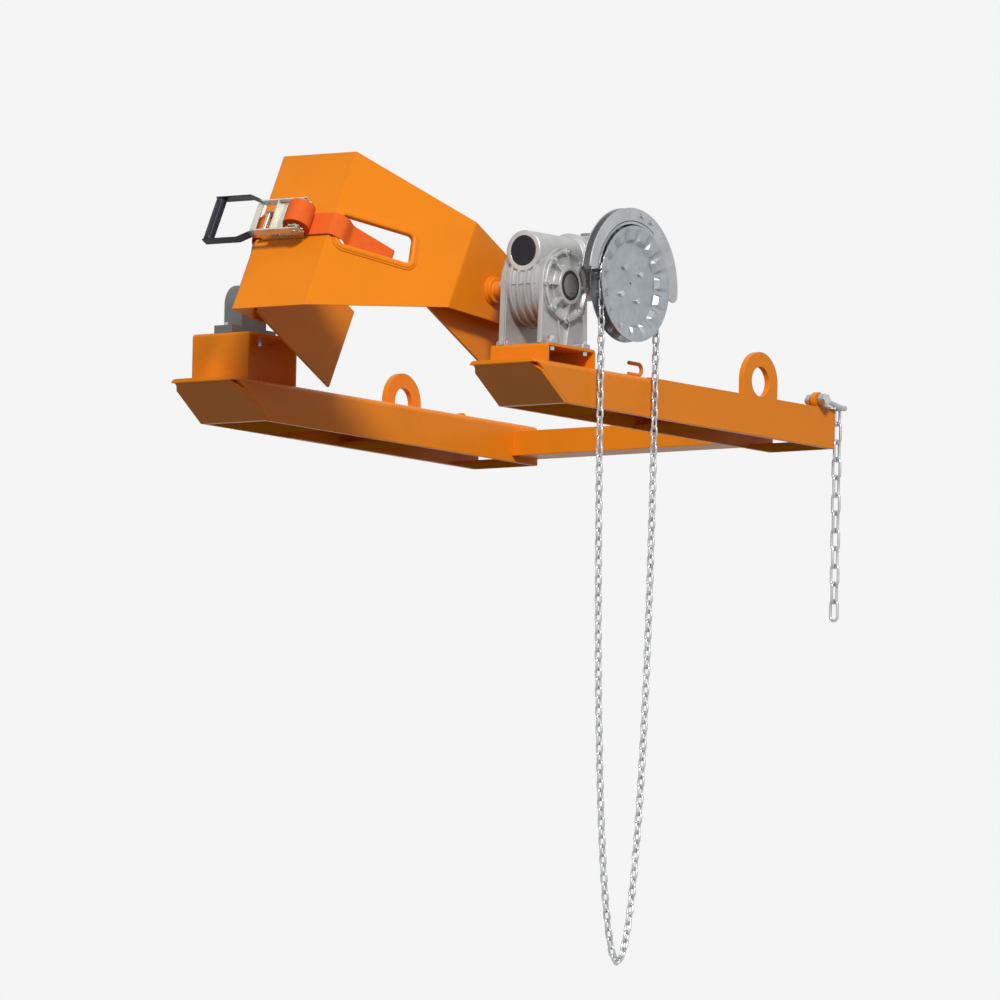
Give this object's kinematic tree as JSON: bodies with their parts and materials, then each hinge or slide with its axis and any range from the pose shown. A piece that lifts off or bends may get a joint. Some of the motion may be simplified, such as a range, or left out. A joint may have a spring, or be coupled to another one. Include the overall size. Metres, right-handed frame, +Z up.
{
  "type": "drum tipper",
  "caption": "Fork truck attachment with two fork pockets and a strap collar that a hand chain wheel tips through a worm gearbox to empty a bin or drum.",
  "frame": {"origin": "midway between the two fork pocket mouths, at the pocket roof", "axes": "+X to the gearbox side, +Y to the truck, the way the forks leave, +Z up"},
  "size_m": [0.9261, 1.3572, 1.6037],
  "materials": {
    "orange_paint": "gloss",
    "zinc_plate": "satin zinc plate",
    "bare_steel": "ground",
    "cast_aluminium": "die cast, matt",
    "cast_iron": "matt",
    "bronze": "machined",
    "black_cap": "satin",
    "seal_rubber": "matt",
    "webbing": "woven",
    "handle_grip": "matt"
  },
  "bodies": {
    "frame": {"pocket_channel_near": "orange_paint", "pocket_channel_far": "orange_paint", "nose_plate_near": "orange_paint", "nose_plate_far": "orange_paint", "pocket_floor_near": "orange_paint", "pocket_floor_far": "orange_paint", "lug_plate_near": "orange_paint", "lug_plate_far": "orange_paint", "cross_tube": "orange_paint", "chain_hook": "orange_paint", "gearbox_stand": "orange_paint", "bearing_stand": "orange_paint", "foot_bolts": "zinc_plate", "cover_bolts": "zinc_plate", "adapter_bolts": "zinc_plate", "chain_guide": "zinc_plate", "guide_bracket": "zinc_plate", "guide_screws": "zinc_plate", "hand_chain": "zinc_plate", "worm_bearings": "bare_steel", "input_bearings": "bare_steel", "output_bearings": "bare_steel", "gearbox_housing": "cast_aluminium", "output_cover_outer": "cast_aluminium", "output_cover_inner": "cast_aluminium", "input_adapter": "cast_aluminium", "first_housing": "cast_aluminium", "first_cover": "cast_aluminium", "bearing_block": "cast_iron", "bearing_bush": "bronze", "worm_cap": "black_cap", "output_seals": "seal_rubber"},
    "collar": {"collar_shell": "orange_paint", "slot_rim_near": "orange_paint", "slot_rim_far": "orange_paint", "guide_plate_near": "orange_paint", "guide_plate_far": "orange_paint", "stub_shaft_near": "bare_steel", "stub_shaft_far": "bare_steel", "webbing": "webbing", "ratchet_frame": "zinc_plate", "lock_pawl": "zinc_plate", "hollow_shaft": "bare_steel", "drive_key": "bare_steel", "worm_wheel": "bronze"},
    "worm": {"worm_shaft": "bare_steel", "first_wheel": "bronze"},
    "chain_wheel": {"input_shaft": "bare_steel", "wheel_front_disc": "zinc_plate", "wheel_back_disc": "zinc_plate", "wheel_hub": "cast_iron", "wheel_bolts": "zinc_plate"},
    "reel": {"ratchet_reel": "zinc_plate", "web_roll": "webbing"},
    "handle": {"ratchet_handle": "zinc_plate", "handle_grip": "handle_grip", "drive_pawl": "zinc_plate"},
    "shackle": {"shackle_bow": "zinc_plate", "shackle_pin": "zinc_plate"},
    "securing_chain": {"securing_chain": "zinc_plate"}
  },
  "joints": [
    {"name": "tip", "type": "hinge", "parent": "frame", "child": "collar", "pos_m": [0, -0.905, 0.166], "axis": [1, 0, 0], "range_deg": [-153, 27]},
    {"name": "worm_turn", "type": "hinge", "parent": "frame", "child": "worm", "pos_m": [0.368, -0.905, 0.232], "axis": [0, 1, 0], "range_deg": [-4590, 810]},
    {"name": "chain_wheel_turn", "type": "hinge", "parent": "frame", "child": "chain_wheel", "pos_m": [0.463, -0.746, 0.184], "axis": [1, 0, 0], "range_deg": [-22950, 4050], "deforming": ["hand_chain"]},
    {"name": "reel_turn", "type": "hinge", "parent": "collar", "child": "reel", "pos_m": [0.032, -1.24715, 0.34033], "axis": [0, 0.454, 0.891], "continuous": true},
    {"name": "handle_swing", "type": "hinge", "parent": "collar", "child": "handle", "pos_m": [0.032, -1.24715, 0.34033], "axis": [0, 0.454, 0.891], "range_deg": [0, 120]},
    {"name": "shackle_swing", "type": "hinge", "parent": "frame", "child": "shackle", "pos_m": [0.442, -0.057, 0.022], "axis": [1, 0, 0], "range_deg": [0, 90]},
    {"name": "chain_swing", "type": "hinge", "parent": "shackle", "child": "securing_chain", "pos_m": [0.442, 0.01619, 0.01106], "axis": [1, 0, 0], "range_deg": [0, 60]}
  ],
  "couplings": [
    {"joint": "worm_turn", "follows": "tip", "ratio": 30},
    {"joint": "chain_wheel_turn", "follows": "tip", "ratio": 150}
  ]
}
